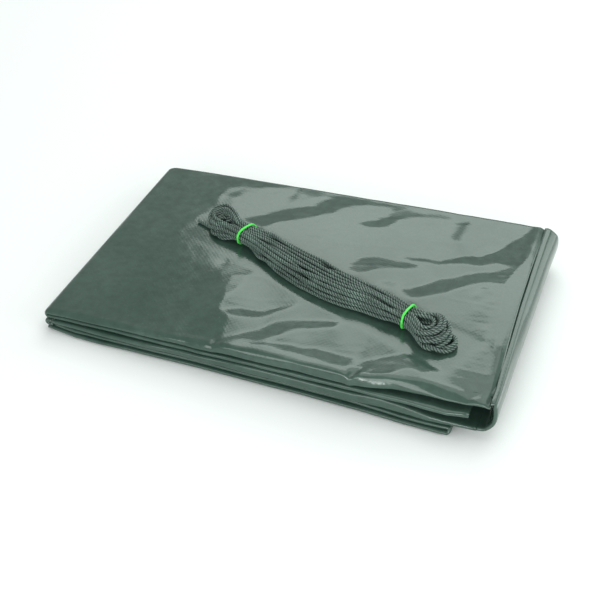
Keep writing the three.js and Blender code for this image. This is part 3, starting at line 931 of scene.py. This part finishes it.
def third_w_extra(prof, c):
    """Small waviness, and the front edge puffed up as a roll below the mouth."""
    y, w = prof[..., 0], prof[..., 1]
    puff = np.interp(c, [-211, -150, -100, -60, 0, 50, 100, 130, 150, 168, 195], [0, 0.8, 2.4, 3.6, 5.4, 6.5, 7.3, 6.4, 4.4, 1.8, 0])
    puff = puff * (1 + 0.12 * value_noise(c, c * 0, 23, 43))
    return ply_noise(41, 0.10, 0.34)(prof, c) - puff[:, None] * np.clip((1.55 - w) / 3.1, 0, 1) * (1 - smooth(-126, -96, y))


third_cloth, third_co, _, third_len, third_w = strip(
    "third_leaf_cloth", x3, np.full_like(x3, mid3),
    dict(yA=128.5 + wavy(x3, 9, 0.8), yr=front3 + 1.6, wA=1.55, yl=front3 + 1.0, wl=-1.65, wC=-1.55,
         yb=127.5 + wavy(x3, 10, 0.8), wB=0.0, yf=front3 + 10), 60, 34, 30, w_extra=third_w_extra)
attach(third_cloth, "upper_fold")
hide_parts("third_leaf")

# top leaf, the inner left fold and the mouth flap, one piece that moves together
TOP_X = np.concatenate([np.linspace(X_LOOP + 6, 150, 32), np.linspace(150, X_L, 190)[1:]])
top_mid = top_at(TOP_X) - LEAF / 2
z_l2 = (top_at(X_L) - LEAF / 2)
mouth_z0 = 3 * (LEAF + GAP) + LEAF / 2
fx, fz = arc_line(X_L, (z_l2 + mouth_z0) / 2, (z_l2 - mouth_z0) / 2, 90, 270, 13)
x5 = np.linspace(X_L, X_MOUTH, 66)
z5 = mouth_z0 + (26.6 - mouth_z0) * (x5 - X_L) / (X_MOUTH - X_L)
cx, cz = join_lines((TOP_X, top_mid), (fx, fz), (x5, z5))
is_top = np.zeros(len(cx), bool)
is_top[:len(TOP_X)] = True
is_mouth = np.zeros(len(cx), bool)
is_mouth[-len(x5) + 1:] = True
ridge = np.interp(cx, [-211, -200, -193, -173, -141, -116, -81, -52, -40, -30, 6, 42, 78, 86, 94, 114, 127, 155, 169, 180, 199, 206],
                  [-128.4, -129.4, -128.4, -127.6, -129.4, -130.4, -131.0, -130.4, -131.2, -131.6, -130.4, -131.8, -133.0, -134.0, -132.2, -127.4, -126.2, -122.6, -124.4, -127.6, -129.8, -130.2])
lip = np.interp(cx, [-211, -180, -141, -60, -14, 42, 84, 104, 122, 151, 183, 206],
                [-130.6, -131.0, -131.6, -132.8, -132.8, -133.6, -135.2, -133.2, -130.8, -130.0, -130.9, -130.8])
lip_w = np.interp(cx, [-211, -150, -100, -60, 0, 50, 100, 140, 165, 190, 206], [-1.8, -2.5, -3.4, -4.2, -5.6, -6.6, -7.0, -6.4, -5.2, -3.2, -2.2])
mouth_front = np.interp(cx, [-206, -120, -20, 60, 128, 153, 170, 186], [-131.0, -132.2, -133.6, -134.8, -136.0, -137.4, -138.2, -135.4])
in_fold = ~is_top & ~is_mouth
yr = np.where(is_top, ridge, np.where(is_mouth, mouth_front + 1.4, -129.4)) + wavy(cx, 12, 0.35, 12)
yl = np.where(is_top, lip, np.where(is_mouth, mouth_front + 1.0, -130.8)) + wavy(cx, 13, 0.5, 22)
wl = np.where(is_top, lip_w, -1.55)
mouth_thick = np.where(is_mouth, np.interp(cx, [-206, -150, -60, 128, 150, 184], [1, 1.12, 1.32, 1.35, 1.3, 1.45]), 1.0)


def top_w(prof, c):
    """Wrinkles, edge rolls and dimples of the outer ply; small waviness of the plies under it."""
    y, w = prof[..., 0], prof[..., 1]
    k = prof.shape[1]
    n_outer = N_A + 13
    outer = np.zeros((len(c), k))
    outer[:, :n_outer] = 1.0
    outer[:, n_outer - 9:n_outer] = np.linspace(1, 0, 10)[1:]
    outer *= is_top[:, None]
    x = np.repeat(c[:, None], k, 1)
    h = sample_top(x, y)
    keep = under_hank(x, y)
    h = h * (1 - keep) - 0.25 * keep
    # rolled ridges along the front and back edges and down the left edge
    dist_f = y - yr[:, None]
    h += 0.55 * bump(2.0, 3.2, dist_f) * (0.8 + 0.2 * value_noise(x, y * 0, 31, 15)) * (1 - smooth(172, 190, x))
    h += 0.15 * bump(127.0, 5.0, y) * value_noise(x, y * 0, 37, 17)
    h += 0.20 * bump(-204, 4.5, x)
    # pinched dimples on the front ridge
    for dx0, depth, wide, run in ((86, 2.4, 3.0, 13), (-40, 1.0, 2.6, 8), (182, 1.0, 3.4, 10)):
        lean = 0.35 * (y - yr[:, None])
        h -= depth * bump(dx0, wide, x - lean) * (1 - smooth(2, run, dist_f))
        h += depth * (0.12 * bump(dx0 - 2.6 * wide, wide * 1.4, x - lean) + 0.3 * bump(dx0 + 2.4 * wide, wide * 1.2, x - lean)) * (1 - smooth(2, run * 1.5, dist_f))
    # the leaf dips into the valley beside the open fold, with a small ridge before it
    gap = x_valley(y) - (x_valley(y) + (x - (X_LOOP + 6)) * 1.0)
    h += 0.35 * bump(8.0, 4.0, gap) - 2.0 * (1 - smooth(0, 5.0, gap))
    # corner near the open fold droops a little
    h -= 2.0 * smooth(150, 200, x) * (1 - smooth(-128, -96, y))
    h = np.clip(h, -3.4, 3.2)
    ply = ply_noise(51, 0.08, 0.34)(prof, c)
    return outer * h + (1 - outer) * ply * (~in_fold)[:, None]


N_A = 150


def top_x(x, y, z, w):
    """The end sections lean to follow the valley line."""
    u = smooth(120, X_LOOP + 6, x) * is_top[:, None]
    dx = u * (x_valley(y) - (X_LOOP + 6))
    return dx, np.zeros_like(dx)


def corner(x, r, xl=-209.8):
    """How far in the back and front edges come at the rounded left corners."""
    d = np.clip((xl + r) - x, 0, r)
    return r - np.sqrt(np.maximum(r * r - d * d, 0))


back_top = np.interp(cx, [-211, -150, -60, 12, 80, 150, 200], [132.4, 133.6, 132.6, 132.0, 131.2, 130.2, 129.0])
back = np.where(is_top | in_fold, back_top, 124.5) + wavy(cx, 16, 0.4, 20)
pull = np.where(is_top | in_fold, corner(cx, 12.0), corner(cx, 9.0))
pull_f = np.where(is_top | in_fold, corner(cx, 4.0), corner(cx, 3.0))
top_cloth, top_co, top_k, top_len, top_width = strip(
    "top_leaf_cloth", cx, cz,
    dict(yA=back - pull, yr=yr + pull_f, wA=1.6 * mouth_thick, yl=yl + pull_f, wl=wl * mouth_thick, wC=-1.6 * mouth_thick,
         yb=back - 1.5 - pull, wB=0.0, yf=yl + 11), N_A, 36, 32, w_extra=top_w, x_extra=top_x)
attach(top_cloth, "top_flap")
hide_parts("top_leaf", "inner_left_fold", "mouth_flap")

# the open fold: from the third leaf's end, round the right, up to the valley
n_loop = 46
t = np.linspace(0, 1, n_loop)
bot_z, top_z = mid3, float(top_at(X_LOOP + 6) - LEAF / 2)
ctrl = np.array([[X_LOOP - 2.0, bot_z], [X_LOOP, bot_z], [201.5, bot_z + 1.2], [206.6, bot_z + 6.5], [208.3, 22.0], [208.4, 29.0],
                 [207.2, 35.5], [205.2, 39.4], [203.2, 40.9], [X_LOOP + 6, top_z], [X_LOOP + 3, top_z - 0.1]])
loop_line = catmull(ctrl[1:-1][:, None, :], n_loop)[0]
cxl, czl = loop_line[:, 0], loop_line[:, 1]
front_loop = np.interp(np.linspace(0, 1, n_loop), [0, 0.3, 0.6, 0.85, 1], [-131.6, -130.0, -128.8, -129.6, -130.6])
r_corner = 6.0


def loop_x(x, y, z, w):
    """The fold's crest follows the valley line, with a slight waviness of its crest and sides."""
    v = smooth(34.5, 41.0, z) * smooth(212, 203, x)
    dx = v * (x_valley(y) - (X_LOOP + 6))
    top = smooth(37.0, 40.6, z)
    crest = 0.45 * value_noise(y, z * 0.5, 26, 61)
    soft = 0.5 * value_noise(y, z, 48, 62) * smooth(8, 16, z) * (1 - smooth(34, 41, z))
    return dx + soft, crest * top * (1 - v) * 0.6


loop_cloth, loop_co, loop_k, loop_len, loop_w = strip(
    "open_fold_cloth", cxl, czl,
    dict(yA=129.0 - 2.0 * smooth(0.2, 0.6, t) * 0, yr=front_loop + 1.6, wA=1.55, yl=front_loop + 1.2, wl=-1.55, wC=-1.55,
         yb=127.5, wB=0.0, yf=front_loop + 10), N_A, 36, 32, x_extra=loop_x)
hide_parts("right_open_fold")


def bend(piece, ns, line):
    """Bake the piece's transform into its mesh and work out how far along the fold line each ring lies; nothing is
    turned.
    """
    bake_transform(piece)
    n = len(piece.data.vertices)
    s = np.concatenate([[0], np.cumsum(np.hypot(np.diff(line[0]), np.diff(line[1])))])
    s = np.repeat(s, n // ns)


bend(left_cloth, len(lx), (lx, lz, 4, 4))
bend(loop_cloth, n_loop, (cxl, czl, 1, 1))

# ---------------------------------------------------------------- floor and light
def plane(name, half, z):
    me = bpy.data.meshes.new(name)
    me.from_pydata([(-half, -half, z), (half, -half, z), (half, half, z), (-half, half, z)], [], [(0, 1, 2, 3)])
    ob = bpy.data.objects.new(name, me)
    scene.collection.objects.link(ob)
    return ob


floor = plane("floor", 6.0, -0.0006)
fmat, fnt, fb = new_material("floor")
fb.inputs["Base Color"].default_value = (0.86, 0.86, 0.86, 1)
fb.inputs["Roughness"].default_value = 0.8
fb.inputs["Specular IOR Level"].default_value = 0.1
floor.data.materials.append(fmat)

world = bpy.data.worlds.new("world")
scene.world = world
world.use_nodes = True
bg = world.node_tree.nodes["Background"]
bg.inputs[0].default_value = (0.95, 1.0, 0.98, 1)
bg.inputs[1].default_value = 0.60


def area(name, at, ex, ey, size_x, size_y, power, color=(1, 1, 1)):
    """A rectangular softbox at a point, its sides along ex and ey, shining towards the object."""
    data = bpy.data.lights.new(name, "AREA")
    data.shape = "RECTANGLE"
    data.size, data.size_y = size_x, size_y
    data.energy = power
    data.color = color
    ex, ey = Vector(ex).normalized(), Vector(ey)
    ez = ex.cross(ey).normalized()
    ey = ez.cross(ex)
    if ez.dot(Vector(at)) < 0:
        ez, ey = -ez, -ey
    ob = bpy.data.objects.new(name, data)
    ob.matrix_world = Matrix(((ex[0], ey[0], ez[0], at[0]), (ex[1], ey[1], ez[1], at[1]), (ex[2], ey[2], ez[2], at[2]), (0, 0, 0, 1)))
    scene.collection.objects.link(ob)
    return ob


# key: a wide softbox behind the object, where the glossy leaf mirrors it towards the front right,
# and its upper part, which leans over the object and draws a line along every ridge
area("key", (0.159, 1.618, 1.212), (0.93039, 0.3538, 0.09595), (0.13803, -0.58059, 0.80241), 2.10, 0.569, 11.5, (0.90, 1.0, 0.95))
area("overhead", (0.16, 0.52, 1.72), (0.93039, 0.3538, 0.09595), (0.30, -0.95, 0.16), 1.5, 1.8, 13.0, (0.93, 1.0, 0.97))
# fill from the back right, the right and the low front
area("right_back", (1.55, 1.25, 0.50), (0.63, -0.78, 0), (-0.2, -0.16, 1), 1.3, 0.9, 8.0, (0.93, 1.0, 0.97))
area("right_fill", (1.5, -0.2, 0.55), (0, 1, 0), (-0.35, 0, 1), 0.8, 0.8, 6.0, (0.93, 1.0, 0.97))
area("mouth_fill", (0.55, -1.5, 0.24), (1, 0.37, 0), (0, 0.1, 1), 0.9, 0.3, 8.0, (0.95, 1.0, 0.98))
area("front_fill", (-0.05, -1.75, 0.62), (1, 0, 0), (0, 0.33, 1), 1.5, 0.7, 13.0, (0.95, 1.0, 0.98))

scene.view_settings.view_transform = "Standard"
